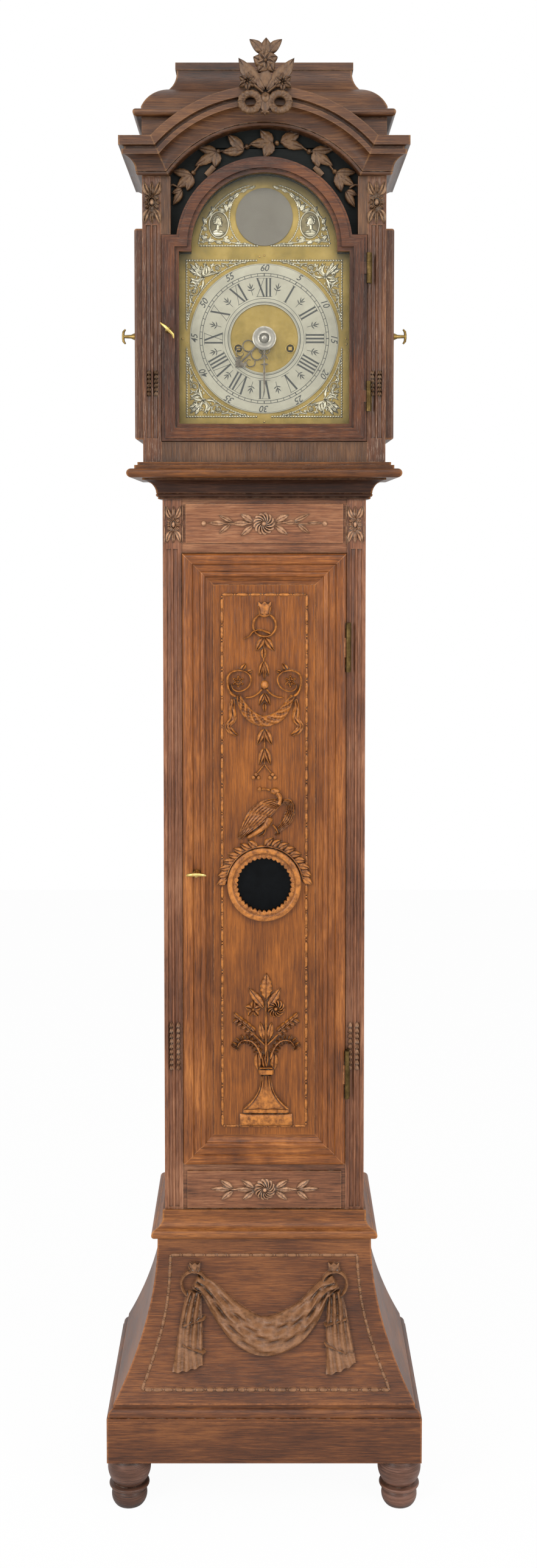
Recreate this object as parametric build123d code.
from build123d import *
import math
import os

# Longcase clock, millimetres.  X runs to the right, Z up, and the front looks along -Y.
# Depths are given as q, the distance forward from the wall that the case stands against.
# The origin is at the floor, in the middle of the width and of the depth.

# Overall case
CASE_DEPTH = 326.0
TRUNK_HALF = 173.0
TRUNK_FRONT = 230.0
BOARD = 16.0
BACK_BOARD = 14.0
BACK_TOP_GAP = 5.0
STILE_THICK = 22.0
FAR = 3000.0

# Heights from the floor upwards
FOOT_HEIGHT = 86.0
PLINTH_HEIGHT = 71.5
PLINTH_CAP_HEIGHT = 25.5
BASE_HEIGHT = 258.0
WAIST_HEIGHT = 46.0
TRUNK_HEIGHT = 1316.0
COVE_HEIGHT = 35.0
PLINTH_BOTTOM = FOOT_HEIGHT
PLINTH_TOP = PLINTH_BOTTOM + PLINTH_HEIGHT
BASE_BOTTOM = PLINTH_TOP + PLINTH_CAP_HEIGHT
BASE_TOP = BASE_BOTTOM + BASE_HEIGHT
TRUNK_TOP = BASE_TOP + TRUNK_HEIGHT

# Steps outwards from the trunk's faces, the same at the front and at the sides
BASE_STEP = 12.5
BASE_FLARE = 71.5
PLINTH_STEP = 10.5
COVE_STEP = 32.0
WAIST_STEP = 19.0
BASE_BOARD = 12.5
FOOT_RADIUS = 37.0
FOOT_OVERHANG = 1.5
FOOT_RING = 32.0
FOOT_SETBACK = 1.0
TRUNK_SOCKET = 16.0

# Trunk front
STILE_WIDTH = 31.8
DOOR_GAP = 1.2
RAIL_SETBACK = 2.0
FRIEZE_HEIGHT = 66.0
FRIEZE_HALF = 134.0
APRON_HEIGHT = 65.4
PANEL_RAISE = 3.0
TOP_RAIL_HEIGHT = 91.0
BOTTOM_RAIL_HEIGHT = 126.8
FRIEZE_LIFT = 17.0
APRON_LIFT = 13.0
FLUTE_RADIUS = 4.2
FLUTE_SPREAD = 5.4
FLUTE_FOOT = 40.0
CAPITAL_HEIGHT = 80.0

# Trunk door
DOOR_FRONT = 242.0
DOOR_THICK = 22.0
DOOR_BORDER = 53.0
PANEL_BACK = 4.0
PANEL_EDGE = 5.0
FIELD_BORDER = 16.0
FIELD_RAISE = 3.0
LENTICLE_DROP = 931.4
LENTICLE_RADIUS = 48.0
LENTICLE_RING = 15.0
LENTICLE_RING_THICK = 8.0
LENTICLE_REBATE = 4.0
GLASS = 3.0
TRUNK_HANDLE_INSET = 24.0
TRUNK_HANDLE_RISE = 19.4

# Hood
HOOD_CLEAR = 0.3
HOOD_BACK = 2.0
HOOD_OVERHANG = 30.0
HOOD_HALF = TRUNK_HALF + HOOD_OVERHANG
HOOD_FRONT = 265.0
HOOD_MOULD_HEIGHT = 26.0
HOOD_MOULD_STEP = 25.0
HOOD_COLUMN_HEIGHT = 473.0
PILASTER_WIDTH = 30.8
HOOD_RAIL_HEIGHT = 34.0
HOOD_BOTTOM = TRUNK_TOP + HOOD_CLEAR
HOOD_SILL = HOOD_BOTTOM + HOOD_MOULD_HEIGHT
HOOD_HEAD = HOOD_SILL + HOOD_COLUMN_HEIGHT

# Hood door
HOOD_DOOR_FRONT = 272.0
HOOD_DOOR_THICK = 22.0
HOOD_DOOR_BORDER = 28.8
HOOD_SHOULDER_RISE = 166.0
HOOD_ARCH_RISE = 147.0
HOOD_ARCH_RADIUS = 147.0
HOOD_ARCH_BORDER = 25.5
HOOD_SHOULDER_BORDER = 27.0
GLASS_OVERLAP = 4.0
HOOD_HANDLE_RISE = 8.0
HOOD_HANDLE_INSET = 11.0

# Cornice, attic and caddy
CORNICE_HEIGHT = 58.0
CORNICE_STEP = 36.0
CORNICE_ARCH_DROP = 118.0
CORNICE_ARCH_INNER = 198.0
ATTIC_FRONT = 268.0
ATTIC_HEIGHT = 95.0
ATTIC_BOARD = 25.0
NOSING_HEIGHT = 13.0
NOSING_STEP = 14.0
CADDY_HEIGHT = 80.0
CADDY_CAP_HEIGHT = 12.0
CADDY_CAP_HALF = 150.0
CADDY_FOOT_STEP = 3.0
CADDY_NECK_IN = 55.0
CREST_DROP = 47.0
CREST_HEIGHT = 122.0
CREST_THICK = 16.0

# Side doors of the hood
SIDE_DOOR_SILL = 39.0
SIDE_DOOR_HEIGHT = 352.0
SIDE_DOOR_BACK = 52.0
SIDE_DOOR_FRONT = 244.0
SIDE_DOOR_THICK = 15.0
SIDE_DOOR_BORDER = 34.0
SIDE_LIP = 10.0
SIDE_HANDLE_UP = 213.0
SIDE_HANDLE_INSET = 14.0
BODY_GAP = 0.3

# Dial
DIAL_RISE = 175.5
DIAL_FRONT = 220.0
DIAL_PLATE = 3.0
DIAL_HALF = 152.5
DIAL_ARCH_RISE = 142.0
DIAL_ARCH_RADIUS = 132.0
RING_INNER = 57.5
RING_OUTER = 126.0
RING_THICK = 2.5
SPANDREL_HALF = 133.0
SPANDREL_GAP = 8.0
SPANDREL_ARCH_MARGIN = 15.0
SPANDREL_BOSS_MARGIN = 11.0
SPANDREL_SPLIT = 24.0
SPANDREL_THICK = 2.5
BOSS_RISE = 204.0
BOSS_RADIUS = 48.0
WINDING_X = 44.0
WINDING_DROP = 16.5
WINDING_HOLE = 6.5
MASK_BACK = 232.0
MASK_MARGIN = 1.5
MASK_SLIT_RISE = 312.0
MASK_SLIT = 2.0

# Movement
PLATE = 3.0
PLATE_BACK_Q = 110.0
PLATE_SPACING = 68.0
PLATE_HALF = 86.0
PLATE_ABOVE_CENTRE = 91.0
SEAT_UNDER_CENTRE = 149.0
SEAT_THICK = 20.0
RUN_FIT = 0.05
MESH_GAP = 0.35
CENTRE_ARBOR = 2.5
CANNON_RADIUS = 4.0
HOUR_PIPE_RADIUS = 6.0
CENTRE_PINION = 6.3
CENTRE_WHEEL = 27.0
THIRD_PINION = 3.5
THIRD_WHEEL = 22.0
ESCAPE_PINION = 3.0
ESCAPE_RISE = 32.0
ESCAPE_WHEEL = 19.0
HOUR_WHEEL = 32.0
BARREL_RADIUS = 24.0
BARREL_ARBOR = 4.4
WHEEL_THICK = 2.0
MINUTE_LENGTH = 98.0
HOUR_LENGTH = 70.0
HAND_THICK = 1.5
COLLET_RADIUS = 20.0
HOUR_ANGLE = 225.0
MINUTE_ANGLE = 180.0

# Pendulum, weights and bell
PIVOT_RISE = 63.0
PENDULUM_Q = 70.0
ROD_RADIUS = 2.5
BOB_RADIUS = 55.0
BOB_THICK = 30.0
WEIGHT_RADIUS = 30.0
WEIGHT_HEIGHT = 230.0
WEIGHT_LIFT = 172.5
CRUTCH_Q = 96.0
CRUTCH_LENGTH = 124.0
PULLEY_LIFT = 45.0
PULLEY_GROOVE = 22.0
PULLEY_RIM = 2.4
PULLEY_WIDTH = 8.0
LINE_RADIUS = 0.8
BELL_RADIUS = 52.0
BELL_HEIGHT = 40.0
BELL_WALL = 3.0
BELL_RIM_LIFT = 20.0

# Hinges
HINGE_RADIUS = 4.0
HINGE_LEAF = 1.6
HINGE_OFFSET = 3.0
HINGE_FLANGE = 5.5
HINGE_FLANGE_THICK = 1.2
TRUNK_HINGE_LENGTH = 84.0
TRUNK_HINGE_INSET = 118.0
HOOD_HINGE_LENGTH = 50.0
HOOD_HINGE_LOW = 49.5
HOOD_HINGE_TOP = 30.0
SIDE_HINGE_LENGTH = 40.0
SIDE_HINGE_INSET = 48.0


def hinge_heights(low, high, length):
    """Heights of a lower and an upper hinge that end at two given heights."""
    return (low, low + length), (high - length, high)


# Worked-out places
HALF_DEPTH = CASE_DEPTH / 2
BASE_OUT = BASE_STEP + BASE_FLARE
PLINTH_OUT = BASE_OUT + PLINTH_STEP
HOOD_DOOR_HALF = HOOD_HALF - PILASTER_WIDTH - DOOR_GAP
HOOD_DOOR_BOTTOM = HOOD_SILL + HOOD_RAIL_HEIGHT + DOOR_GAP
DIAL_Z = HOOD_DOOR_BOTTOM + DIAL_RISE
DIAL_ARCH_Z = DIAL_Z + DIAL_ARCH_RISE
BOSS_Z = DIAL_Z + BOSS_RISE
HOOD_SHOULDER = DIAL_Z + HOOD_SHOULDER_RISE
HOOD_ARCH_Z = DIAL_Z + HOOD_ARCH_RISE
HOOD_HANDLE_Z = DIAL_Z + HOOD_HANDLE_RISE
MASK_SLIT_Z = DIAL_Z + MASK_SLIT_RISE
LENTICLE_Z = DIAL_Z - LENTICLE_DROP
TRUNK_HANDLE_Z = LENTICLE_Z + TRUNK_HANDLE_RISE
WEIGHT_BOTTOM = PLINTH_TOP + WEIGHT_LIFT
PLATE_IN = PLATE_BACK_Q + PLATE
PLATE_FRONT_Q = PLATE_IN + PLATE_SPACING
GREAT_Q = PLATE_IN + 56.0
SEAT_TOP = DIAL_Z - SEAT_UNDER_CENTRE + SEAT_THICK
SEAT_BOTTOM = SEAT_TOP - SEAT_THICK
WINDING_Z = DIAL_Z - WINDING_DROP
PIVOT_Z = DIAL_Z + PIVOT_RISE
BARREL_Q = PLATE_BACK_Q + PLATE + PLATE_SPACING / 2 - 4.0
LINE_REACH = BARREL_RADIUS + BODY_GAP + LINE_RADIUS
PULLEY_REACH = PULLEY_GROOVE + BODY_GAP + LINE_RADIUS
WEIGHT_X = WINDING_X + LINE_REACH - PULLEY_REACH
PULLEY_Z = WEIGHT_BOTTOM + WEIGHT_HEIGHT + PULLEY_LIFT
DOOR_HALF = TRUNK_HALF - STILE_WIDTH - DOOR_GAP
TRUNK_HANDLE_X = TRUNK_HANDLE_INSET - DOOR_HALF
DOOR_BOTTOM = BASE_TOP + BOTTOM_RAIL_HEIGHT + DOOR_GAP
DOOR_TOP = TRUNK_TOP - COVE_HEIGHT - TOP_RAIL_HEIGHT - DOOR_GAP
CORNICE_ARCH_Z = HOOD_HEAD - CORNICE_ARCH_DROP
ATTIC_TOP = HOOD_HEAD + ATTIC_HEIGHT
CADDY_BOTTOM = ATTIC_TOP + NOSING_HEIGHT
CADDY_TOP = CADDY_BOTTOM + CADDY_HEIGHT
CENTRE = (0.0, DIAL_Z)
ESCAPE = (0.0, DIAL_Z + ESCAPE_RISE)
ANCHOR = (0.0, PIVOT_Z)
HAMMER = (-45.0, PIVOT_Z - 7.0)
TRUNK_HINGE_X = DOOR_HALF + HINGE_OFFSET
TRUNK_HINGE_Q = DOOR_FRONT - 2.0
TRUNK_HINGES = hinge_heights(DOOR_BOTTOM + TRUNK_HINGE_INSET, DOOR_TOP - TRUNK_HINGE_INSET, TRUNK_HINGE_LENGTH)
HOOD_HINGE_X = HOOD_DOOR_HALF + HINGE_OFFSET
HOOD_HINGE_Q = HOOD_DOOR_FRONT - 1.0
HOOD_HINGES = hinge_heights(HOOD_DOOR_BOTTOM + HOOD_HINGE_LOW, HOOD_SHOULDER - HOOD_HINGE_TOP, HOOD_HINGE_LENGTH)
SIDE_BOTTOM = HOOD_SILL + SIDE_DOOR_SILL
SIDE_TOP = SIDE_BOTTOM + SIDE_DOOR_HEIGHT
SIDE_HINGE_X = HOOD_HALF + BODY_GAP + SIDE_DOOR_THICK - 2.0
SIDE_HINGE_Q = SIDE_DOOR_BACK - 5.0
SIDE_HINGES = hinge_heights(SIDE_BOTTOM + SIDE_HINGE_INSET, SIDE_TOP - SIDE_HINGE_INSET, SIDE_HINGE_LENGTH)


def at_q(q):
    """Y of a plane q in front of the wall."""
    return HALF_DEPTH - q


def block(x0, x1, q0, q1, z0, z1):
    """A box between two X, two depths from the wall and two heights."""
    middle = Pos((x0 + x1) / 2, at_q((q0 + q1) / 2), (z0 + z1) / 2)
    return middle * Box(x1 - x0, q1 - q0, z1 - z0)


def section(points):
    """A face through points; a third number bends the edge that starts there by that sagitta."""
    edges = []
    for start, end in zip(points, points[1:] + points[:1]):
        bend = start[2] if len(start) > 2 else 0.0
        if bend:
            edges.append(SagittaArc(start[:2], end[:2], bend))
        else:
            edges.append(Line(start[:2], end[:2]))
    return make_face(Wire(edges))


def front_plate(outline, q0, q1):
    """Extrude a face drawn in X and Z between two depths from the wall."""
    plane = Plane(origin=(0, at_q(q0), 0), x_dir=(1, 0, 0), z_dir=(0, -1, 0))
    return extrude(plane * outline, q1 - q0)


def prism(points):
    """A tall upright prism over a plan outline in X and Y, used to cut mitres."""
    return extrude(Plane.XY * section(points), FAR)


def rod(x, z, q0, q1, radius):
    """A round bar along the depth."""
    return Pos(x, at_q((q0 + q1) / 2), z) * Rot(90, 0, 0) * Cylinder(radius, q1 - q0)


def post(x, q, z0, z1, radius):
    """A round upright bar."""
    return Pos(x, at_q(q), (z0 + z1) / 2) * Cylinder(radius, z1 - z0)


def both_sides(right):
    """A right-hand piece and its mirror image."""
    return [right, mirror(right, Plane.YZ)]


def save(name, pieces):
    """Write one node; each piece stays a solid of its own."""
    flat = []
    for piece in pieces:
        flat.extend(piece.solids())
    export_step(Compound(children=[Part(solid.wrapped) for solid in flat]), "parts/" + name + ".step")


def mitred_lengths(points, half, front, inset, reach, back=0.0):
    """Front, right and left lengths of a moulding whose points are (step outwards, height)."""
    face = section(points)
    face_y = at_q(front)
    front_plane = Plane(origin=(0, face_y, 0), x_dir=(0, -1, 0), z_dir=(-1, 0, 0))
    side_plane = Plane(origin=(half, at_q(back), 0), x_dir=(1, 0, 0), z_dir=(0, -1, 0))
    inner = half - inset
    outer = half + reach
    front_cut = prism([(-inner, face_y + inset), (-outer, face_y - reach),
                       (outer, face_y - reach), (inner, face_y + inset)])
    side_cut = prism([(inner, at_q(back)), (inner, face_y + inset),
                      (outer, face_y - reach), (outer, at_q(back))])
    front_run = extrude(front_plane * face, outer, both=True) & front_cut
    side_run = extrude(side_plane * face, front - back + reach) & side_cut
    return [front_run] + both_sides(side_run)


def teeth_outline(outer, depth, count):
    """A wheel's outline with a plain pointed tooth at every step."""
    points = []
    for i in range(count):
        step = 2 * math.pi / count
        for radius, share in ((outer, 0.0), (outer - depth, 0.5)):
            angle = (i + share) * step
            points.append((radius * math.sin(angle), radius * math.cos(angle)))
    return section(points)


def wheel(x, z, q, outer, depth, count, thick=WHEEL_THICK):
    """A flat toothed wheel."""
    outline = Pos(x, z) * teeth_outline(outer, depth, count)
    return front_plate(outline, q, q + thick)


def t_handle(x, z, q, bar, stem_length, stem_radius=3.0, depth=12.0):
    """A T-handle that turns about its stem; the stem enters its bore by the depth."""
    stem = rod(x, z, q - depth, q + stem_length, stem_radius)
    ferrule = rod(x, z, q + BODY_GAP, q + 3.0, stem_radius * 1.5)
    grip = block(x - bar / 2, x + bar / 2, q + stem_length - 1.0, q + stem_length + 3.5, z - 4.0, z + 4.0)
    return stem + ferrule + grip


def handle_bore(x, z, q, stem_radius=3.0, depth=12.0):
    """The blind bore that a T-handle's stem turns in."""
    return rod(x, z, q - depth - 0.5, q + 1.0, stem_radius + RUN_FIT)


# Case

def bun_feet():
    r = FOOT_RADIUS
    ring = FOOT_RING
    outline = section([(0, 0), (r - 12.0, 0, -5.0), (r - 11.0, ring - 4.0), (r - 5.0, ring - 2.0, -2.5),
                       (r - 5.0, ring + 4.0), (r - 10.0, ring + 6.0, -8.5), (r - 7.0, FOOT_HEIGHT),
                       (0, FOOT_HEIGHT)])
    foot = revolve(Plane.XZ * outline, Axis.Z)
    reach = TRUNK_HALF + PLINTH_OUT + FOOT_OVERHANG - FOOT_RADIUS
    front = TRUNK_FRONT + PLINTH_OUT + FOOT_OVERHANG - FOOT_RADIUS
    feet = []
    for x in (-reach, reach):
        for q in (FOOT_RADIUS + FOOT_SETBACK, front):
            feet.append(Pos(x, at_q(q), 0) * foot)
    return feet


def plinth_frame():
    out = PLINTH_OUT
    points = [(out, PLINTH_BOTTOM), (out, PLINTH_TOP), (out - BOARD, PLINTH_TOP), (out - BOARD, PLINTH_BOTTOM)]
    lengths = mitred_lengths(points, TRUNK_HALF, TRUNK_FRONT, 0, out)
    inner = TRUNK_HALF + out - BOARD
    back = block(-inner, inner, 0, BACK_BOARD, PLINTH_BOTTOM, PLINTH_TOP)
    return lengths + [back]


def plinth_moulding():
    low = PLINTH_OUT
    high = BASE_OUT
    points = [(high - BASE_BOARD, PLINTH_TOP), (high - BASE_BOARD, BASE_BOTTOM), (high, BASE_BOTTOM),
              (high, BASE_BOTTOM - 6.0, 3.5), (low - 2.0, PLINTH_TOP + 6.0), (low, PLINTH_TOP + 6.0),
              (low, PLINTH_TOP)]
    return mitred_lengths(points, TRUNK_HALF, TRUNK_FRONT, 0, low)


def base_curve_sagitta():
    """The flare is upright at its top, which fixes the arc's radius."""
    radius = (BASE_HEIGHT ** 2 + BASE_FLARE ** 2) / (2 * BASE_FLARE)
    chord = math.hypot(BASE_HEIGHT, BASE_FLARE)
    return radius - math.sqrt(radius ** 2 - (chord / 2) ** 2)


def base_boards():
    bend = base_curve_sagitta()
    points = [(BASE_OUT, BASE_BOTTOM, bend), (BASE_STEP, BASE_TOP), (BASE_STEP - BASE_BOARD, BASE_TOP, -bend),
              (BASE_OUT - BASE_BOARD, BASE_BOTTOM)]
    walls = mitred_lengths(points, TRUNK_HALF, TRUNK_FRONT, 0, BASE_OUT)
    inner = TRUNK_HALF + BASE_OUT - BASE_BOARD
    floor = block(-inner + 4, inner - 4, BACK_BOARD, TRUNK_FRONT + BASE_OUT - BASE_BOARD - 4,
                  PLINTH_TOP - BOARD, PLINTH_TOP)
    return walls + [floor]


def backboard():
    bend = base_curve_sagitta()
    low = TRUNK_HALF + BASE_OUT - BASE_BOARD
    base = section([(-low, BASE_BOTTOM, -bend), (-TRUNK_HALF, BASE_TOP), (TRUNK_HALF, BASE_TOP, -bend),
                    (low, BASE_BOTTOM), (low, PLINTH_TOP), (-low, PLINTH_TOP)])
    top = ATTIC_TOP - BACK_TOP_GAP
    shaft = section([(-TRUNK_HALF, BASE_TOP), (-TRUNK_HALF, top), (TRUNK_HALF, top), (TRUNK_HALF, BASE_TOP)])
    return [front_plate(base, 0, BACK_BOARD) + front_plate(shaft, 0, BACK_BOARD)]


def waist_moulding():
    foot = BASE_TOP
    top = BASE_TOP + WAIST_HEIGHT
    points = [(0, foot), (0, top), (4.0, top), (4.0, top - 12.0, -4.0), (16.0, foot + 16.0),
              (WAIST_STEP - 4.0, foot + 16.0, 7.9), (WAIST_STEP - 4.0, foot)]
    return mitred_lengths(points, TRUNK_HALF, TRUNK_FRONT, 0, WAIST_STEP + 10)


def flutes(x, front, z0, z1):
    """Two half-round grooves that leave three reeds."""
    return [post(x + side * FLUTE_SPREAD, front + 1.2, z0, z1, FLUTE_RADIUS) for side in (-1, 1)]


def trunk_stiles():
    inner = TRUNK_HALF - STILE_WIDTH
    stile = block(inner, TRUNK_HALF, TRUNK_FRONT - STILE_THICK, TRUNK_FRONT, BASE_TOP - TRUNK_SOCKET, TRUNK_TOP)
    middle = inner + STILE_WIDTH / 2
    for flute in flutes(middle, TRUNK_FRONT, BASE_TOP + WAIST_HEIGHT + 4, DOOR_TOP + 8):
        stile -= flute
    return both_sides(stile)


def trunk_rails():
    half = TRUNK_HALF - STILE_WIDTH
    back = TRUNK_FRONT - STILE_THICK
    face = TRUNK_FRONT - RAIL_SETBACK
    door_low = DOOR_BOTTOM - DOOR_GAP
    door_high = DOOR_TOP + DOOR_GAP
    top_rail = block(-half, half, back, face, door_high, TRUNK_TOP)
    low_rail = block(-half, half, back, face, BASE_TOP - TRUNK_SOCKET, door_low)
    frieze_z = door_high + FRIEZE_LIFT
    apron_top = door_low - APRON_LIFT
    frieze = block(-FRIEZE_HALF, FRIEZE_HALF, face, face + PANEL_RAISE, frieze_z, frieze_z + FRIEZE_HEIGHT)
    apron = block(-FRIEZE_HALF, FRIEZE_HALF, face, face + PANEL_RAISE, apron_top - APRON_HEIGHT, apron_top)
    return [top_rail, low_rail, frieze, apron]


def trunk_sides():
    inner = TRUNK_HALF - BOARD
    return both_sides(block(inner, TRUNK_HALF, BACK_BOARD, TRUNK_FRONT - STILE_THICK,
                            BASE_TOP - TRUNK_SOCKET, SEAT_BOTTOM))


def trunk_cove():
    z = TRUNK_TOP - COVE_HEIGHT
    points = [(0, z), (0, TRUNK_TOP), (COVE_STEP, TRUNK_TOP), (COVE_STEP, TRUNK_TOP - 3.0, -6.0),
              (10.0, z + 10.0), (8.5, z + 10.0, 2.0), (8.5, z + 4.0), (6.0, z + 4.0, 1.5), (6.0, z)]
    return mitred_lengths(points, TRUNK_HALF, TRUNK_FRONT, 0, COVE_STEP + 4)


def seat_board():
    board = block(-TRUNK_HALF, TRUNK_HALF, BACK_BOARD, TRUNK_FRONT - STILE_THICK, SEAT_BOTTOM, SEAT_TOP)
    swing = block(-20, 20, PENDULUM_Q - 14, PENDULUM_Q + 14, SEAT_BOTTOM - 1, SEAT_TOP + 1)
    board -= swing
    for side in (-1, 1):
        x = side * (WINDING_X + LINE_REACH)
        board -= block(x - 12, x + 12, BARREL_Q - 18, BARREL_Q + 18, SEAT_BOTTOM - 1, SEAT_TOP + 1)
    return [board]


# Trunk door

def frame_lengths(points, half, z0, z1):
    """Four mitred lengths; points are (distance in from the outer edge, depth from the wall)."""
    middle = (z0 + z1) / 2
    rise = (z1 - z0) / 2
    width = max(point[0] for point in points)
    plan = section([(half - p[0], HALF_DEPTH - p[1]) + tuple(p[2:]) for p in points])
    upright = extrude(Plane(origin=(0, 0, z0), x_dir=(1, 0, 0), z_dir=(0, 0, 1)) * plan, z1 - z0)
    up_cut = front_plate(section([(half, z0), (half, z1), (half - width, z1 - width),
                                  (half - width, z0 + width)]), 0, CASE_DEPTH)
    upright = upright & up_cut
    end = section([(rise - p[0], HALF_DEPTH - p[1]) + tuple(p[2:]) for p in points])
    cross_plane = Plane(origin=(-half, 0, middle), x_dir=(0, 0, 1), z_dir=(1, 0, 0))
    crossbar = extrude(cross_plane * mirror(end, Plane.XZ), 2 * half)
    cross_cut = front_plate(section([(-half, z1), (half, z1), (half - width, z1 - width),
                                     (-half + width, z1 - width)]), 0, CASE_DEPTH)
    crossbar = crossbar & cross_cut
    lower = mirror(crossbar, Plane(origin=(0, 0, middle), z_dir=(0, 0, 1)))
    return both_sides(upright) + [crossbar, lower]


def hinge_bands(z0, z1, band=0.30):
    """Heights of the two outer knuckles and of the middle one."""
    step = (z1 - z0) * band
    return (z0, z0 + step), (z1 - step, z1), (z0 + step + BODY_GAP, z1 - step - BODY_GAP)


def fixed_hinge(x, q, z0, z1, face):
    """Outer knuckles with their pin and a leaf that lies on the stile's face."""
    low, high, _ = hinge_bands(z0, z1)
    half = HINGE_LEAF / 2
    hinge = post(x, q, z0, z1, HINGE_RADIUS / 2 - RUN_FIT)
    hinge += block(x - half, x + half, face, q - HINGE_RADIUS - BODY_GAP, z0, z1)
    for start, end in (low, high):
        hinge += post(x, q, start, end, HINGE_RADIUS)
        hinge += block(x - half, x + half, face, q, start, end)
    return hinge + block(x - half, x + HINGE_FLANGE, face, face + HINGE_FLANGE_THICK, z0, z1)


def moving_hinge(x, q, z0, z1, reach):
    """The middle knuckle with a leaf let into the door."""
    _, _, middle = hinge_bands(z0, z1)
    knuckle = post(x, q, middle[0], middle[1], HINGE_RADIUS)
    leaf = block(x - reach, x, q - HINGE_LEAF / 2, q + HINGE_LEAF / 2, middle[0], middle[1])
    return (knuckle + leaf) - post(x, q, z0 - 1, z1 + 1, HINGE_RADIUS / 2)


def hinge_notch(x, q, z0, z1, reach):
    """What a door's edge loses to its hinge."""
    _, _, middle = hinge_bands(z0, z1)
    notch = post(x, q, z0 - 1, z1 + 1, HINGE_RADIUS + BODY_GAP + 0.2)
    return notch + block(x - reach, x, q - HINGE_LEAF / 2, q + HINGE_LEAF / 2, middle[0], middle[1])


def trunk_door_frame():
    back = DOOR_FRONT - DOOR_THICK
    face = DOOR_FRONT
    points = [(0, back), (0, face - 6.0, 2.2), (8.0, face), (17.0, face), (19.0, face - 3.0),
              (30.0, face - 3.0, 4.0), (40.0, face - 3.0), (47.0, face - 8.0), (DOOR_BORDER, face - 8.0),
              (DOOR_BORDER, back)]
    lengths = frame_lengths(points, DOOR_HALF, DOOR_BOTTOM, DOOR_TOP)
    right, left, top, bottom = lengths
    left -= handle_bore(TRUNK_HANDLE_X, TRUNK_HANDLE_Z, face - 3.0)
    pieces = []
    for z0, z1 in TRUNK_HINGES:
        right -= hinge_notch(TRUNK_HINGE_X, TRUNK_HINGE_Q, z0, z1, 18.0)
        pieces.append(moving_hinge(TRUNK_HINGE_X, TRUNK_HINGE_Q, z0, z1, 18.0))
    return [right, left, top, bottom] + pieces


def trunk_door_panel():
    half = DOOR_HALF - DOOR_BORDER
    z0 = DOOR_BOTTOM + DOOR_BORDER
    z1 = DOOR_TOP - DOOR_BORDER
    back = DOOR_FRONT - DOOR_THICK + PANEL_BACK
    edge = DOOR_FRONT - PANEL_EDGE
    field = edge + FIELD_RAISE
    inset = FIELD_BORDER
    panel = block(-half, half, back, edge, z0, z1)
    panel += block(-half + inset, half - inset, edge, field, z0 + inset, z1 - inset)
    panel -= rod(0, LENTICLE_Z, back - 1, field + 1, LENTICLE_RADIUS)
    panel -= rod(0, LENTICLE_Z, field - GLASS, field + 1, LENTICLE_RADIUS + LENTICLE_REBATE)
    return [panel]


def lenticle_ring():
    field = DOOR_FRONT - PANEL_EDGE + FIELD_RAISE
    outer = LENTICLE_RADIUS + LENTICLE_RING
    ring = rod(0, LENTICLE_Z, field, field + LENTICLE_RING_THICK, outer)
    return [ring - rod(0, LENTICLE_Z, field - 1, field + LENTICLE_RING_THICK + 1, LENTICLE_RADIUS)]


def lenticle_glass():
    field = DOOR_FRONT - PANEL_EDGE + FIELD_RAISE
    return [rod(0, LENTICLE_Z, field - GLASS, field, LENTICLE_RADIUS + LENTICLE_REBATE)]


# Hood

def hood_base_moulding():
    z = HOOD_BOTTOM
    top = HOOD_SILL
    points = [(-BOARD, z), (-BOARD, top), (9.0, top), (9.0, top - 5.0), (14.0, top - 5.0), (14.0, z + 15.0),
              (HOOD_MOULD_STEP - 6.0, z + 15.0, 7.4), (HOOD_MOULD_STEP - 6.0, z)]
    return mitred_lengths(points, HOOD_HALF, HOOD_FRONT, BOARD, HOOD_MOULD_STEP + 6, back=HOOD_BACK)


def hood_pilasters():
    inner = HOOD_HALF - PILASTER_WIDTH
    pilaster = block(inner, HOOD_HALF, HOOD_FRONT - STILE_THICK, HOOD_FRONT, HOOD_SILL, HOOD_HEAD)
    middle = inner + PILASTER_WIDTH / 2
    for flute in flutes(middle, HOOD_FRONT, HOOD_SILL + FLUTE_FOOT, HOOD_HEAD - CAPITAL_HEIGHT):
        pilaster -= flute
    return both_sides(pilaster)


def side_window():
    """Depths and heights of the opening behind a side door."""
    z0 = SIDE_BOTTOM
    return (SIDE_DOOR_BACK + SIDE_DOOR_BORDER - SIDE_LIP, SIDE_DOOR_FRONT - SIDE_DOOR_BORDER + SIDE_LIP,
            z0 + SIDE_DOOR_BORDER - SIDE_LIP, SIDE_TOP - SIDE_DOOR_BORDER + SIDE_LIP)


def hood_sides():
    q0, q1, z0, z1 = side_window()
    inner = HOOD_HALF - BOARD
    front = HOOD_FRONT - STILE_THICK
    pieces = [block(inner, HOOD_HALF, HOOD_BACK, q0, HOOD_SILL, HOOD_HEAD),
              block(inner, HOOD_HALF, q1, front, HOOD_SILL, HOOD_HEAD),
              block(inner, HOOD_HALF, q0, q1, HOOD_SILL, z0),
              block(inner, HOOD_HALF, q0, q1, z1, HOOD_HEAD)]
    lengths = []
    for piece in pieces:
        lengths.extend(both_sides(piece))
    return lengths


def door_outline(margin):
    """The hood door's outer shape, a rectangle with an arch between square shoulders."""
    half = HOOD_DOOR_HALF + margin
    radius = HOOD_ARCH_RADIUS + margin
    shoulder = HOOD_SHOULDER + margin
    square = section([(-half, HOOD_DOOR_BOTTOM - margin), (-half, shoulder), (half, shoulder),
                      (half, HOOD_DOOR_BOTTOM - margin)])
    return square + Pos(0, HOOD_ARCH_Z) * Circle(radius)


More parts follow.
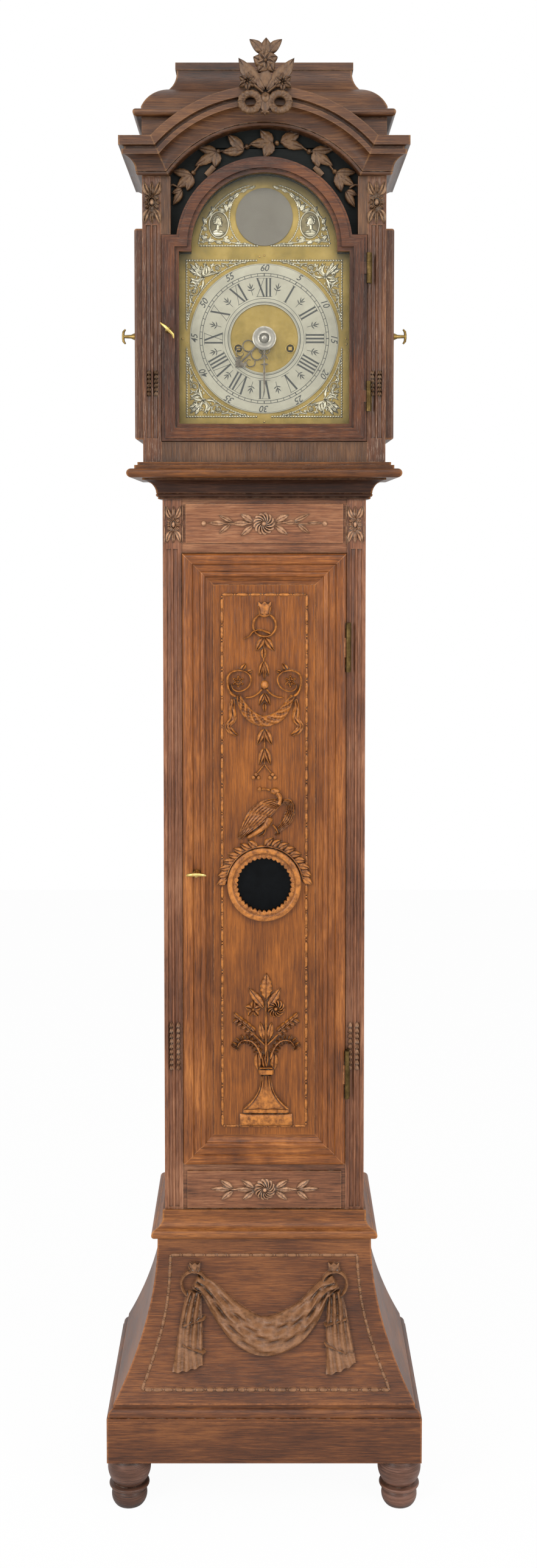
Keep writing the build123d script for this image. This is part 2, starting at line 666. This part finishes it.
def sight_outline(margin):
    """The hood door's opening, grown by a margin."""
    half = HOOD_DOOR_HALF - HOOD_DOOR_BORDER + margin
    radius = HOOD_ARCH_RADIUS - HOOD_ARCH_BORDER + margin
    low = HOOD_DOOR_BOTTOM + HOOD_DOOR_BORDER - margin
    shoulder = HOOD_SHOULDER - HOOD_SHOULDER_BORDER + margin
    square = section([(-half, low), (-half, shoulder), (half, shoulder), (half, low)])
    return square + Pos(0, HOOD_ARCH_Z) * Circle(radius)


def hood_front_frame():
    half = HOOD_HALF - PILASTER_WIDTH
    back = HOOD_FRONT - STILE_THICK
    rail = block(-half, half, back, HOOD_FRONT, HOOD_SILL, HOOD_SILL + HOOD_RAIL_HEIGHT)
    stile = block(half - 16.2, half, back, HOOD_FRONT, HOOD_SHOULDER + DOOR_GAP, HOOD_HEAD)
    stile -= front_plate(door_outline(DOOR_GAP), 0, CASE_DEPTH)
    return [rail] + both_sides(stile)


def dial_mask():
    half = HOOD_HALF - BOARD - BODY_GAP
    board = block(-half, half, MASK_BACK, HOOD_FRONT - STILE_THICK, HOOD_SILL, ATTIC_TOP - 1)
    board -= front_plate(sight_outline(MASK_MARGIN), 0, CASE_DEPTH)
    slit = block(-half - 1, half + 1, 0, CASE_DEPTH, MASK_SLIT_Z, MASK_SLIT_Z + MASK_SLIT)
    return [board - slit]


def hood_fret():
    """Leaf clusters over the black board, one after another round the door's arch."""
    leaf = section([(-10, 0, 4.5), (10, 0, 4.5)])
    radius = (HOOD_ARCH_RADIUS + CORNICE_ARCH_INNER) / 2
    pieces = []
    for i in range(-3, 4):
        angle = i * 16.0
        spot = Pos(0, HOOD_ARCH_Z) * Rot(0, 0, -angle) * Pos(0, radius)
        cluster = spot * leaf
        for turn in (60, 120):
            cluster += spot * Rot(0, 0, turn) * leaf
        pieces.append(front_plate(cluster, HOOD_FRONT - STILE_THICK, HOOD_FRONT - 10))
    return pieces


def cornice_points(lift):
    """Cornice section as (step outwards, height)."""
    return [(0, lift), (5.0, lift, -2.5), (8.0, lift + 6.0), (10.0, lift + 6.0, 5.0), (27.0, lift + 29.0),
            (31.0, lift + 29.0), (31.0, lift + 37.0), (27.0, lift + 38.0), (27.0, lift + 42.0),
            (CORNICE_STEP, lift + 43.0), (CORNICE_STEP, lift + CORNICE_HEIGHT), (0, lift + CORNICE_HEIGHT)]


def hood_cornice():
    """Arched front, two flats and two side returns, all mitred."""
    inner = CORNICE_ARCH_INNER
    outer = inner + CORNICE_HEIGHT
    rise_in = CORNICE_ARCH_DROP
    rise_out = CORNICE_ARCH_DROP + CORNICE_HEIGHT
    mitre_in = math.sqrt(inner ** 2 - rise_in ** 2)
    mitre_out = math.sqrt(outer ** 2 - rise_out ** 2)
    slope = (mitre_out - mitre_in) / CORNICE_HEIGHT
    low = (mitre_in - 20 * slope, HOOD_HEAD - 20)
    high = (mitre_out + 20 * slope, HOOD_HEAD + CORNICE_HEIGHT + 20)
    arch_zone = section([(-low[0], low[1]), (low[0], low[1]), high, (high[0], FAR), (-high[0], FAR),
                         (-high[0], high[1])])
    arch_cut = front_plate(arch_zone, 0, FAR)
    ring_plane = Plane(origin=(0, at_q(ATTIC_FRONT), CORNICE_ARCH_Z), x_dir=(0, -1, 0), z_dir=(-1, 0, 0))
    profile = section(cornice_points(inner))
    axis = Axis((0, 0, CORNICE_ARCH_Z), (0, 1, 0))
    ring = revolve(ring_plane * profile, axis)
    front, right, left = mitred_lengths(cornice_points(HOOD_HEAD), HOOD_HALF, ATTIC_FRONT, 0, CORNICE_STEP, back=HOOD_BACK)
    flats = front - arch_cut
    return list((ring & arch_cut).solids()) + list(flats.solids()) + [right, left]


def arch_clearance():
    """The space that the arched cornice takes in front of the attic."""
    return rod(0, CORNICE_ARCH_Z, ATTIC_FRONT, FAR, CORNICE_ARCH_INNER + CORNICE_HEIGHT)


def attic():
    """Front board with the arch cut out, two side boards, a dust board and the nosing."""
    half = HOOD_HALF
    z0 = HOOD_HEAD
    z1 = ATTIC_TOP
    board = block(-half, half, ATTIC_FRONT - ATTIC_BOARD, ATTIC_FRONT, z0, z1)
    board -= rod(0, CORNICE_ARCH_Z, 0, FAR, CORNICE_ARCH_INNER + 2)
    side = block(half - BOARD, half, HOOD_BACK, ATTIC_FRONT - ATTIC_BOARD, z0, z1)
    top = block(-half, half, HOOD_BACK, ATTIC_FRONT, z1, z1 + NOSING_HEIGHT)
    r = NOSING_HEIGHT / 2
    points = [(0, z1), (0, z1 + NOSING_HEIGHT), (NOSING_STEP - r, z1 + NOSING_HEIGHT, r), (NOSING_STEP - r, z1)]
    nosing = mitred_lengths(points, half, ATTIC_FRONT, 0, NOSING_STEP + 2, back=HOOD_BACK)
    nosing[0] -= arch_clearance()
    return [board] + both_sides(side) + [top] + list(nosing[0].solids()) + nosing[1:]


def caddy_top():
    """Bell-shaped top, convex below and hollowed under a flat cap board."""
    z0 = CADDY_BOTTOM
    z1 = CADDY_TOP
    cap = z1 + CADDY_CAP_HEIGHT
    knee = z0 + CADDY_HEIGHT * 0.56
    points = [(-CADDY_NECK_IN - 40, z0), (CADDY_FOOT_STEP - 2, z0), (CADDY_FOOT_STEP - 2, z0 + 5, -7.0),
              (-CADDY_NECK_IN + 12, knee, 4.0), (-CADDY_NECK_IN, z1), (-CADDY_NECK_IN - 40, z1)]
    inset = CADDY_NECK_IN + 40
    walls = mitred_lengths(points, HOOD_HALF, ATTIC_FRONT, inset, CADDY_FOOT_STEP, back=HOOD_BACK)
    walls[0] -= arch_clearance()
    setback = HOOD_HALF - CADDY_CAP_HALF
    lid = block(-CADDY_CAP_HALF, CADDY_CAP_HALF, HOOD_BACK, ATTIC_FRONT - setback, z1, cap)
    inner = HOOD_HALF - inset
    back = block(-inner, inner, HOOD_BACK, BACK_BOARD, z0, z1)
    return walls + [lid, back]


def crest_carving():
    """Leaves and flowers over two ribbon bows, as plain outlines on one plaque."""
    q0 = ATTIC_FRONT + CORNICE_STEP
    leaf = section([(-22, 0, 8.0), (22, 0, 8.0)])
    bottom = CORNICE_ARCH_Z + CORNICE_ARCH_INNER + CORNICE_HEIGHT - CREST_DROP
    top = bottom + CREST_HEIGHT
    flower_z = top - 34
    bow_z = bottom + 17
    outline = Pos(0, flower_z) * Circle(15)
    for angle in (60, 90, 120):
        turn = math.radians(angle)
        outline += Pos(14 * math.cos(turn), flower_z + 12 * math.sin(turn)) * Rot(0, 0, angle) * leaf
    for side in (-1, 1):
        outline += Pos(side * 26, flower_z - 6) * Rot(0, 0, side * 12) * leaf
        outline += Pos(side * 22, flower_z - 34) * Circle(13)
        outline += Pos(side * 25, bow_z) * Circle(19)
    outline += section([(-12, bottom + 8), (-14, flower_z), (14, flower_z), (12, bottom + 8)])
    for side in (-1, 1):
        outline -= Pos(side * 27, bow_z) * Circle(8)
    limit = section([(-60, bottom), (-60, top), (60, top), (60, bottom)])
    return [front_plate(outline & limit, q0, q0 + CREST_THICK)]


# Hood door and side doors

def hood_door_frame():
    back = HOOD_DOOR_FRONT - HOOD_DOOR_THICK
    frame = front_plate(door_outline(0), back, HOOD_DOOR_FRONT - 3.0)
    lip = front_plate(door_outline(-5.0), HOOD_DOOR_FRONT - 3.0, HOOD_DOOR_FRONT)
    frame += lip
    frame -= front_plate(sight_outline(0), 0, CASE_DEPTH)
    frame -= front_plate(sight_outline(GLASS_OVERLAP), back, back + GLASS + 3.0)
    frame -= front_plate(sight_outline(7.0), HOOD_DOOR_FRONT - 5.0, HOOD_DOOR_FRONT + 1)
    frame -= handle_bore(-HOOD_DOOR_HALF + HOOD_HANDLE_INSET, HOOD_HANDLE_Z, HOOD_DOOR_FRONT)
    pieces = []
    for z0, z1 in HOOD_HINGES:
        frame -= hinge_notch(HOOD_HINGE_X, HOOD_HINGE_Q, z0, z1, 14.0)
        pieces.append(moving_hinge(HOOD_HINGE_X, HOOD_HINGE_Q, z0, z1, 14.0))
    return [frame] + pieces


def hood_door_glass():
    back = HOOD_DOOR_FRONT - HOOD_DOOR_THICK + 3.0
    return [front_plate(sight_outline(GLASS_OVERLAP), back, back + GLASS)]


def side_door_solids():
    """The right-hand side door as four mitred lengths and its pane."""
    z0 = SIDE_BOTTOM
    z1 = SIDE_TOP
    x0 = HOOD_HALF + BODY_GAP
    border = SIDE_DOOR_BORDER
    thick = SIDE_DOOR_THICK
    points = [(0, 0), (0, thick - 5.0, 1.8), (5.0, thick), (border - 10.0, thick), (border - 8.0, thick - 4.0),
              (border, thick - 4.0), (border, 5.0), (border - 5.0, 5.0), (border - 5.0, 0)]
    half = (SIDE_DOOR_FRONT - SIDE_DOOR_BACK) / 2
    flat = frame_lengths([(p[0], HALF_DEPTH + p[1]) + tuple(p[2:]) for p in points], half, z0, z1)
    place = Pos(x0, at_q((SIDE_DOOR_FRONT + SIDE_DOOR_BACK) / 2), 0) * Rot(0, 0, 90)
    lengths = [place * length for length in flat]
    pane_q0 = SIDE_DOOR_BACK + border - 5.0
    pane_q1 = SIDE_DOOR_FRONT - border + 5.0
    pane = block(x0 + 5.0 - GLASS, x0 + 5.0, pane_q0, pane_q1, z0 + border - 5.0, z1 - border + 5.0)
    return lengths, pane


def side_handle():
    """Right-hand side door's handle, drawn at the front and turned to face outwards."""
    z = HOOD_SILL + SIDE_HANDLE_UP
    x0 = HOOD_HALF + BODY_GAP + SIDE_DOOR_THICK
    q = SIDE_DOOR_FRONT - SIDE_HANDLE_INSET
    stem = Pos(x0 + 5.0, at_q(q), z) * Rot(0, 90, 0) * Cylinder(3.0, 30.0)
    ferrule = Pos(x0 + 1.8, at_q(q), z) * Rot(0, 90, 0) * Cylinder(5.0, 3.0)
    grip = Pos(x0 + 21.0, at_q(q), z) * Box(3.0, 7.0, 25.0)
    bore = Pos(x0 - 4.0, at_q(q), z) * Rot(0, 90, 0) * Cylinder(3.0 + RUN_FIT, 12.5)
    return stem + ferrule + grip, bore


def side_fixed_hinge(z0, z1):
    """Knuckles behind the side door's rear edge, on a leaf fixed to the hood's side."""
    x = SIDE_HINGE_X
    q = SIDE_HINGE_Q
    low, high, _ = hinge_bands(z0, z1)
    hinge = post(x, q, z0, z1, HINGE_RADIUS / 2 - RUN_FIT)
    for start, end in (low, high):
        hinge += post(x, q, start, end, HINGE_RADIUS)
        hinge += block(HOOD_HALF, x, q - HINGE_LEAF / 2, q + HINGE_LEAF / 2, start, end)
    return hinge + block(HOOD_HALF, HOOD_HALF + 1.2, q - 12.0, q + HINGE_LEAF / 2, z0, z1)


def side_moving_hinge(z0, z1):
    x = SIDE_HINGE_X
    q = SIDE_HINGE_Q
    _, _, middle = hinge_bands(z0, z1)
    knuckle = post(x, q, middle[0], middle[1], HINGE_RADIUS)
    leaf = block(x + 0.4, x + 2.0, q, SIDE_DOOR_BACK, middle[0], middle[1])
    return (knuckle + leaf) - post(x, q, z0 - 1, z1 + 1, HINGE_RADIUS / 2)


# Dial and hands

def dial_plate():
    square = Pos(0, DIAL_Z) * Rectangle(2 * DIAL_HALF, 2 * DIAL_HALF)
    plate = front_plate(square + Pos(0, DIAL_ARCH_Z) * Circle(DIAL_ARCH_RADIUS), DIAL_FRONT - DIAL_PLATE, DIAL_FRONT)
    plate -= rod(0, DIAL_Z, 0, CASE_DEPTH, HOUR_PIPE_RADIUS + 1.5)
    for side in (-1, 1):
        plate -= rod(side * WINDING_X, WINDING_Z, 0, CASE_DEPTH, WINDING_HOLE)
    return [plate]


def chapter_ring():
    ring = rod(0, DIAL_Z, DIAL_FRONT, DIAL_FRONT + RING_THICK, RING_OUTER)
    return [ring - rod(0, DIAL_Z, DIAL_FRONT - 1, DIAL_FRONT + RING_THICK + 1, RING_INNER)]


def arch_boss():
    return [rod(0, BOSS_Z, DIAL_FRONT, DIAL_FRONT + RING_THICK, BOSS_RADIUS)]


def dial_spandrels():
    """Four corner castings and the two that fill the arch beside the boss."""
    corners = Pos(0, DIAL_Z) * Rectangle(2 * SPANDREL_HALF, 2 * SPANDREL_HALF)
    corners -= Pos(0, DIAL_Z) * Circle(RING_OUTER + SPANDREL_GAP)
    arch = Pos(0, HOOD_ARCH_Z) * Circle(DIAL_ARCH_RADIUS - SPANDREL_ARCH_MARGIN)
    low = DIAL_Z + DIAL_HALF
    arch = arch & section([(-DIAL_HALF, low), (-DIAL_HALF, FAR), (DIAL_HALF, FAR), (DIAL_HALF, low)])
    arch -= Pos(0, BOSS_Z) * Circle(BOSS_RADIUS + SPANDREL_BOSS_MARGIN)
    arch -= Pos(0, BOSS_Z) * Rectangle(SPANDREL_SPLIT, 2 * DIAL_HALF)
    solids = []
    for outline in (corners, arch):
        solids.extend(front_plate(outline, DIAL_FRONT, DIAL_FRONT + SPANDREL_THICK).solids())
    return solids


def pointed_hand(length, wide, tip):
    """A hand drawn pointing up from the centre."""
    return section([(-wide, 0), (-wide, length * 0.35, 1.0), (-tip, length * 0.7), (-tip * 0.3, length),
                    (tip * 0.3, length), (tip, length * 0.7, 1.0), (wide, length * 0.35), (wide, 0)])


def minute_hand():
    q = DIAL_FRONT + 9.3
    outline = pointed_hand(MINUTE_LENGTH, 5.5, 1.6) + Circle(9)
    outline -= Circle(CANNON_RADIUS)
    turned = Pos(0, DIAL_Z) * Rot(0, 0, -MINUTE_ANGLE) * outline
    hand = front_plate(turned, q, q + HAND_THICK)
    collet = rod(0, DIAL_Z, q + HAND_THICK, q + HAND_THICK + 1.2, COLLET_RADIUS)
    nut = rod(0, DIAL_Z, q + HAND_THICK + 1.2, q + HAND_THICK + 6.0, 8.0)
    return [hand, collet + nut]


def hour_hand():
    q = DIAL_FRONT + 5.5
    outline = pointed_hand(HOUR_LENGTH, 7.0, 2.4) + Circle(11)
    for side in (-1, 1):
        outline += Pos(side * 9, 24) * Circle(7)
    outline -= Circle(HOUR_PIPE_RADIUS)
    turned = Pos(0, DIAL_Z) * Rot(0, 0, -HOUR_ANGLE) * outline
    hand = front_plate(turned, q, q + HAND_THICK)
    wheel_q = PLATE_FRONT_Q + PLATE + 4.0
    pipe = rod(0, DIAL_Z, wheel_q, q + HAND_THICK, HOUR_PIPE_RADIUS)
    pipe += wheel(0, DIAL_Z, wheel_q, HOUR_WHEEL, 2.0, 72)
    pipe -= rod(0, DIAL_Z, wheel_q - 1, q + HAND_THICK + 1, CANNON_RADIUS + RUN_FIT)
    return [hand, pipe]


# Movement

def third_place():
    """Where the third arbor lies so that both of its meshes have the same small gap."""
    first = CENTRE_WHEEL + THIRD_PINION + MESH_GAP
    second = THIRD_WHEEL + ESCAPE_PINION + MESH_GAP
    up = (ESCAPE_RISE ** 2 + first ** 2 - second ** 2) / (2 * ESCAPE_RISE)
    return math.sqrt(first ** 2 - up ** 2), DIAL_Z + up


def arbor(x, z, radius):
    """An arbor whose two ends turn in the plates."""
    return rod(x, z, PLATE_BACK_Q - 1.0, PLATE_FRONT_Q + PLATE + 1.0, radius)


def centre_wheel():
    body = rod(*CENTRE, PLATE_BACK_Q - 1.0, DIAL_FRONT + 9.3 + HAND_THICK, CENTRE_ARBOR)
    body += rod(*CENTRE, PLATE_FRONT_Q + PLATE + 2.0, DIAL_FRONT + 9.3 + HAND_THICK, CANNON_RADIUS)
    body += wheel(*CENTRE, GREAT_Q - 1, CENTRE_PINION, 1.6, 8, 5.0)
    body += wheel(*CENTRE, GREAT_Q + 8.2, CENTRE_WHEEL, 1.6, 60)
    return [body]


def third_wheel():
    x, z = third_place()
    body = arbor(x, z, 2.0)
    body += wheel(x, z, GREAT_Q + 8.2, THIRD_PINION, 1.0, 8)
    body += wheel(x, z, GREAT_Q + 5.2, THIRD_WHEEL, 1.4, 56)
    return [body]


def escape_wheel():
    body = arbor(*ESCAPE, 1.6)
    body += wheel(*ESCAPE, GREAT_Q + 5.2, ESCAPE_PINION, 0.9, 7)
    body += wheel(*ESCAPE, PLATE_IN + 36, ESCAPE_WHEEL, 3.5, 30)
    return [body]


def anchor():
    """Pallets on their arbor, with the crutch that drives the pendulum."""
    x, z = ANCHOR
    body = rod(x, z, CRUTCH_Q - 1.5, PLATE_FRONT_Q + PLATE + 1.0, 2.0)
    arms = section([(-4, 0), (-17, -12), (-21.5, -20), (-19, -21.5), (-13.5, -14), (0, -5), (13.5, -14),
                    (19, -21.5), (21.5, -20), (17, -12), (4, 0), (0, 4)])
    body += front_plate(Pos(x, z) * arms, PLATE_IN + 35, PLATE_IN + 39)
    body += block(-2.0, 2.0, CRUTCH_Q - 1.5, CRUTCH_Q + 1.5, z - CRUTCH_LENGTH + 4, z)
    for side in (-1, 1):
        inner = ROD_RADIUS + BODY_GAP
        x0 = min(side * inner, side * (inner + 2.0))
        body += block(x0, x0 + 2.0, PENDULUM_Q - 6, CRUTCH_Q, z - CRUTCH_LENGTH, z - CRUTCH_LENGTH + 5)
    body += block(-ROD_RADIUS - 2.0, ROD_RADIUS + 2.0, CRUTCH_Q - 1.5, CRUTCH_Q + 1.5, z - CRUTCH_LENGTH, z - CRUTCH_LENGTH + 5)
    return [body]


def barrel(side):
    """Winding drum with its great wheel, arbor and winding square."""
    x = side * WINDING_X
    z = WINDING_Z
    body = arbor(x, z, BARREL_ARBOR)
    body += rod(x, z, PLATE_IN + 5, GREAT_Q - 3, BARREL_RADIUS)
    for q in (PLATE_IN + 4, GREAT_Q - 4):
        body += rod(x, z, q, q + 1.5, BARREL_RADIUS + 3.5)
    reach = math.hypot(WINDING_X, WINDING_DROP) - CENTRE_PINION - MESH_GAP
    body += wheel(x, z, GREAT_Q, reach, 2.0, 96, 3.0)
    body += block(x - 3, x + 3, PLATE_FRONT_Q, DIAL_FRONT + 2, z - 3, z + 3)
    return [body]


def hammer():
    x, z = HAMMER
    body = arbor(x, z, 2.0)
    q = PLATE_IN + 35
    arm = section([(x - 2, z), (x - 17, z + 57), (x - 13, z + 58), (x + 2, z)])
    body += front_plate(arm, q - 2, q + 2)
    body += Pos(x - 15, at_q(q), z + 62) * Rot(0, 90, 0) * Cylinder(7.0, 12.0)
    return [body]


def bell():
    """Bell and the stand that holds it over the plates."""
    z = DIAL_Z + PLATE_ABOVE_CENTRE + BELL_RIM_LIFT
    q = PLATE_IN + 35
    outer = section([(0, z), (BELL_RADIUS, z, -12.0), (6.0, z + BELL_HEIGHT), (0, z + BELL_HEIGHT)])
    wall = BELL_WALL
    inner = section([(0, z - 1), (BELL_RADIUS - wall, z - 1, -11.5), (6.0, z + BELL_HEIGHT - wall),
                     (0, z + BELL_HEIGHT - wall)])
    shell = Pos(0, at_q(q), 0) * revolve(Plane.XZ * outer, Axis.Z)
    shell -= Pos(0, at_q(q), 0) * revolve(Plane.XZ * inner, Axis.Z)
    shell -= post(0, q, z, z + BELL_HEIGHT + 1, 3.0)
    plate_top = DIAL_Z + PLATE_ABOVE_CENTRE
    stand = block(-5, 5, PLATE_BACK_Q, q + 5, plate_top, plate_top + 4)
    stand += post(0, q, plate_top + 4, z + BELL_HEIGHT + 3, 3.0)
    nut = post(0, q, z + BELL_HEIGHT, z + BELL_HEIGHT + 5, 6.0) - post(0, q, z, z + BELL_HEIGHT + 6, 3.0)
    return [shell, stand, nut]


def movement_frame():
    """Two plates, four pillars, four dial feet and the cock that the pendulum hangs from."""
    top = DIAL_Z + PLATE_ABOVE_CENTRE
    third = third_place()
    holes = [(*CENTRE, CENTRE_ARBOR), (*third, 2.0), (*ESCAPE, 1.6), (*ANCHOR, 2.0), (*HAMMER, 2.0)]
    for side in (-1, 1):
        holes.append((side * WINDING_X, WINDING_Z, BARREL_ARBOR))
    plates = []
    for q in (PLATE_BACK_Q, PLATE_FRONT_Q):
        plate = block(-PLATE_HALF, PLATE_HALF, q, q + PLATE, SEAT_TOP, top)
        for x, z, radius in holes:
            plate -= rod(x, z, q - 1, q + PLATE + 1, radius + RUN_FIT)
        plates.append(plate)
    pieces = list(plates)
    for x in (-PLATE_HALF + 8, PLATE_HALF - 8):
        for z in (SEAT_TOP + 14, top - 14):
            pieces.append(rod(x, z, PLATE_IN, PLATE_FRONT_Q, 6.0))
        for z in (SEAT_TOP + 34, top - 34):
            pieces.append(rod(x, z, PLATE_FRONT_Q + PLATE, DIAL_FRONT - DIAL_PLATE, 4.0))
    cock = block(-16, 16, PENDULUM_Q - 8, PLATE_BACK_Q, PIVOT_Z + 14, PIVOT_Z + 22)
    cock += block(-16, 16, PLATE_BACK_Q - 3, PLATE_BACK_Q, PIVOT_Z + 8, PIVOT_Z + 14)
    cock += block(-3, 3, PENDULUM_Q - 6, PENDULUM_Q + 6, PIVOT_Z + 8, PIVOT_Z + 14)
    pieces.append(cock)
    return pieces


# Pendulum and weights

def pendulum_rod():
    """Suspension spring with its chops, rod and rating nut."""
    z = PIVOT_Z
    low = LENTICLE_Z - BOB_RADIUS - 26
    body = post(0, PENDULUM_Q, low, z - 12, ROD_RADIUS)
    body += block(-0.4, 0.4, PENDULUM_Q - 5, PENDULUM_Q + 5, z - 12, z + 7)
    body += block(-3.0, 3.0, PENDULUM_Q - 6, PENDULUM_Q + 6, z - 18, z - 8)
    body += post(0, PENDULUM_Q, low + 8, low + 16, 8.0)
    return [body]


def pendulum_bob():
    lens = section([(0, -BOB_THICK / 2, 0), (3.0, -BOB_THICK / 2, -3.0), (BOB_RADIUS, -1.5),
                    (BOB_RADIUS, 1.5, -3.0), (3.0, BOB_THICK / 2), (0, BOB_THICK / 2)])
    bob = Pos(0, at_q(PENDULUM_Q), LENTICLE_Z) * Rot(90, 0, 0) * revolve(Plane.XZ * lens, Axis.Z)
    return [bob - post(0, PENDULUM_Q, LENTICLE_Z - FAR / 2, LENTICLE_Z + FAR / 2, ROD_RADIUS)]


def weight(side):
    """Brass-cased weight with the fork that its pulley turns in."""
    x = side * WEIGHT_X
    z0 = WEIGHT_BOTTOM
    z1 = z0 + WEIGHT_HEIGHT
    r = WEIGHT_RADIUS
    outline = section([(0, z0), (r - 2, z0, -0.8), (r, z0 + 2), (r, z1 - 2, -0.8), (r - 2, z1), (0, z1)])
    body = Pos(x, at_q(BARREL_Q), 0) * revolve(Plane.XZ * outline, Axis.Z)
    strap = PULLEY_WIDTH / 2 + BODY_GAP
    fork = block(x - 5, x + 5, BARREL_Q - strap - 1.5, BARREL_Q + strap + 1.5, z1 + 8, z1 + 12)
    for q in (BARREL_Q - strap - 1.5, BARREL_Q + strap):
        fork += block(x - 5, x + 5, q, q + 1.5, z1 + 8, PULLEY_Z + 5)
    fork += post(x, BARREL_Q, z1, z1 + 8, 3.0)
    fork += rod(x, PULLEY_Z, BARREL_Q - strap - 1.5, BARREL_Q + strap + 1.5, 2.0)
    return [body, fork]


def pulley(side):
    x = side * WEIGHT_X
    half = PULLEY_WIDTH / 2
    rim = PULLEY_GROOVE + PULLEY_RIM
    wheel_solid = rod(x, PULLEY_Z, BARREL_Q - half, BARREL_Q + half, rim)
    trough = rod(x, PULLEY_Z, BARREL_Q - half + 1.5, BARREL_Q + half - 1.5, rim + 1)
    trough -= rod(x, PULLEY_Z, BARREL_Q - half, BARREL_Q + half, PULLEY_GROOVE)
    wheel_solid -= trough
    return [wheel_solid - rod(x, PULLEY_Z, 0, CASE_DEPTH, 2.0 + RUN_FIT)]


def weight_line(side):
    """The gut line: down from the barrel, half round the pulley and up to the seat board."""
    centre = side * WEIGHT_X
    outer = centre + side * PULLEY_REACH
    inner = centre - side * PULLEY_REACH
    y = at_q(BARREL_Q)
    route = [Line((outer, y, WINDING_Z), (outer, y, PULLEY_Z)),
             ThreePointArc((outer, y, PULLEY_Z), (centre, y, PULLEY_Z - PULLEY_REACH), (inner, y, PULLEY_Z)),
             Line((inner, y, PULLEY_Z), (inner, y, SEAT_BOTTOM))]
    end = Plane(origin=(outer, y, WINDING_Z), z_dir=(0, 0, -1))
    return [sweep(end * Circle(LINE_RADIUS), Wire(route))]


def main():
    os.makedirs("parts", exist_ok=True)
    nodes = {
        "bun_feet": bun_feet(),
        "plinth_frame": plinth_frame(),
        "plinth_moulding": plinth_moulding(),
        "base_boards": base_boards(),
        "backboard": backboard(),
        "waist_moulding": waist_moulding(),
        "trunk_stiles": trunk_stiles(),
        "trunk_rails": trunk_rails(),
        "trunk_sides": trunk_sides(),
        "trunk_cove": trunk_cove(),
        "seat_board": seat_board(),
        "trunk_hinge_leaves": [fixed_hinge(TRUNK_HINGE_X, TRUNK_HINGE_Q, z0, z1, TRUNK_FRONT)
                               for z0, z1 in TRUNK_HINGES],
        "dial_plate": dial_plate(),
        "chapter_ring": chapter_ring(),
        "arch_boss": arch_boss(),
        "dial_spandrels": dial_spandrels(),
        "movement_frame": movement_frame(),
        "bell": bell(),
        "trunk_door_frame": trunk_door_frame(),
        "trunk_door_panel": trunk_door_panel(),
        "lenticle_ring": lenticle_ring(),
        "lenticle_glass": lenticle_glass(),
        "trunk_door_handle": [t_handle(TRUNK_HANDLE_X, TRUNK_HANDLE_Z, DOOR_FRONT - 3.0, 33.0, 22.0)],
        "hood_base_moulding": hood_base_moulding(),
        "hood_pilasters": hood_pilasters(),
        "hood_sides": hood_sides(),
        "hood_front_frame": hood_front_frame(),
        "dial_mask": dial_mask(),
        "hood_fret": hood_fret(),
        "hood_cornice": hood_cornice(),
        "attic": attic(),
        "caddy_top": caddy_top(),
        "crest_carving": crest_carving(),
        "hood_door_frame": hood_door_frame(),
        "hood_door_glass": hood_door_glass(),
        "hood_door_handle": [t_handle(-HOOD_DOOR_HALF + HOOD_HANDLE_INSET, HOOD_HANDLE_Z, HOOD_DOOR_FRONT,
                                      24.0, 18.0)],
        "minute_hand": minute_hand(),
        "hour_hand": hour_hand(),
        "centre_wheel": centre_wheel(),
        "third_wheel": third_wheel(),
        "escape_wheel": escape_wheel(),
        "anchor": anchor(),
        "going_barrel": barrel(1),
        "strike_barrel": barrel(-1),
        "hammer": hammer(),
        "pendulum_rod": pendulum_rod(),
        "pendulum_bob": pendulum_bob(),
        "going_weight": weight(1),
        "strike_weight": weight(-1),
        "going_pulley": pulley(1),
        "strike_pulley": pulley(-1),
        "going_line": weight_line(1),
        "strike_line": weight_line(-1),
    }
    lengths, pane = side_door_solids()
    handle, bore = side_handle()
    lengths = [length - bore for length in lengths]
    moving = [side_moving_hinge(z0, z1) for z0, z1 in SIDE_HINGES]
    fixed = [side_fixed_hinge(z0, z1) for z0, z1 in SIDE_HINGES]
    leaves = [fixed_hinge(HOOD_HINGE_X, HOOD_HINGE_Q, z0, z1, HOOD_FRONT) for z0, z1 in HOOD_HINGES]
    for piece in fixed:
        leaves.extend(both_sides(piece))
    nodes["hood_hinge_leaves"] = leaves
    nodes["side_door_frame_right"] = lengths + moving
    nodes["side_door_glass_right"] = [pane]
    nodes["side_door_handle_right"] = [handle]
    for name in ("side_door_frame", "side_door_glass", "side_door_handle"):
        nodes[name + "_left"] = [mirror(piece, Plane.YZ) for piece in nodes[name + "_right"]]
    for name, pieces in nodes.items():
        save(name, pieces)


main()
